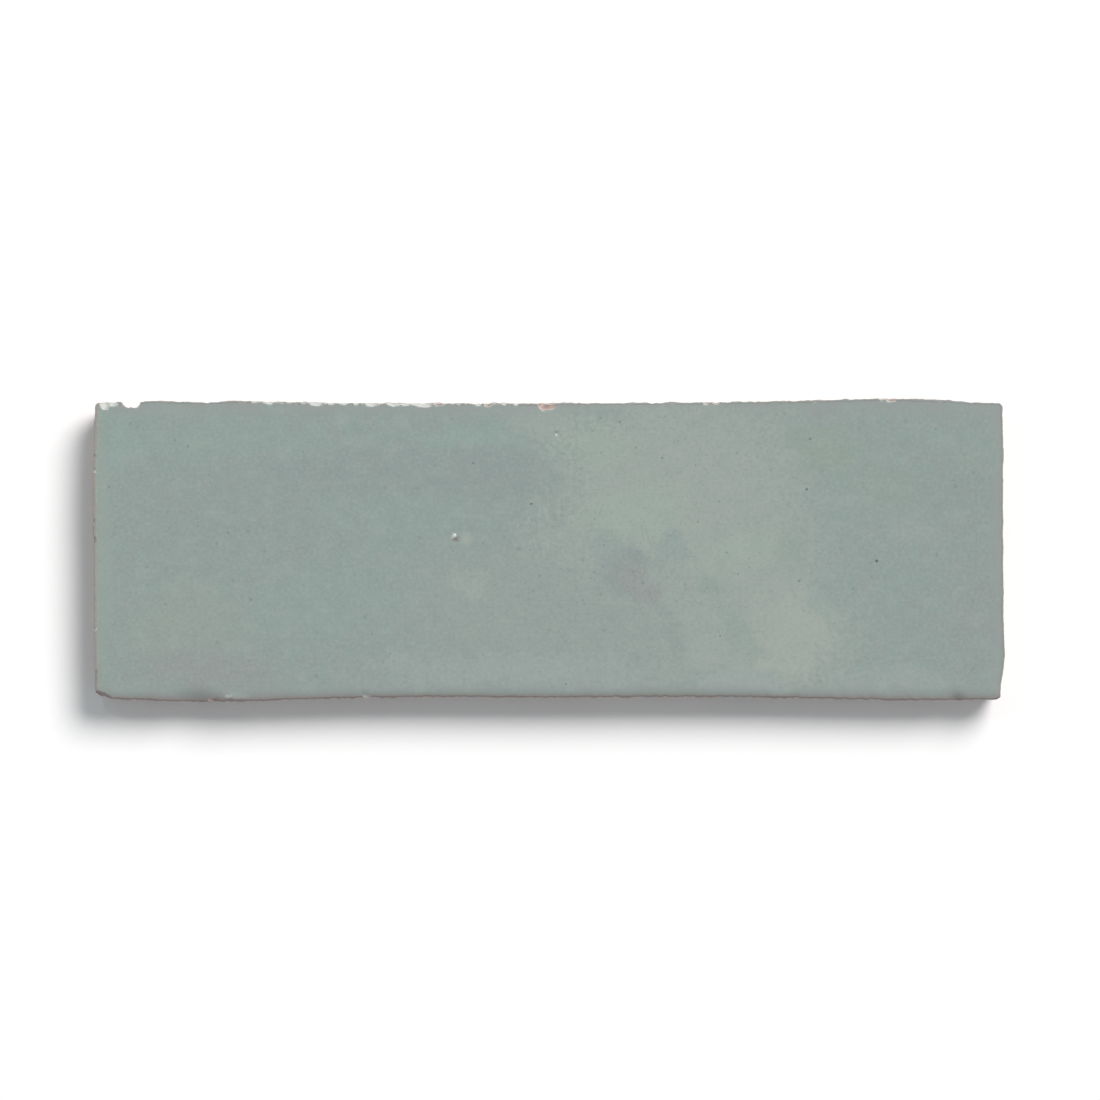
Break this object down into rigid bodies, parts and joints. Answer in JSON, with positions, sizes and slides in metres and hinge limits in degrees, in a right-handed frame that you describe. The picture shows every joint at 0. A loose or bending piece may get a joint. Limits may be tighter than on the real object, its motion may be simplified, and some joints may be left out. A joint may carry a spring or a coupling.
{
  "type": "subway wall tile",
  "caption": "Long rectangular handmade wall tile of fired clay, with a glossy sage green glaze on a slightly crowned face, wavy chipped edges and a flat back for bonding to a wall.",
  "frame": {"origin": "middle of the flat back, on the surface that the tile lies on", "axes": "+X along the tile, +Y across it towards its upper edge as it hangs on a wall, +Z out of the glazed face"},
  "size_m": [0.2009, 0.0667, 0.011],
  "materials": {
    "glaze": "glossy sage green glaze, cloudy and slightly speckled, on a pinkish fired clay body"
  },
  "bodies": {
    "root": {"wall_tile": "glaze"}
  },
  "joints": []
}
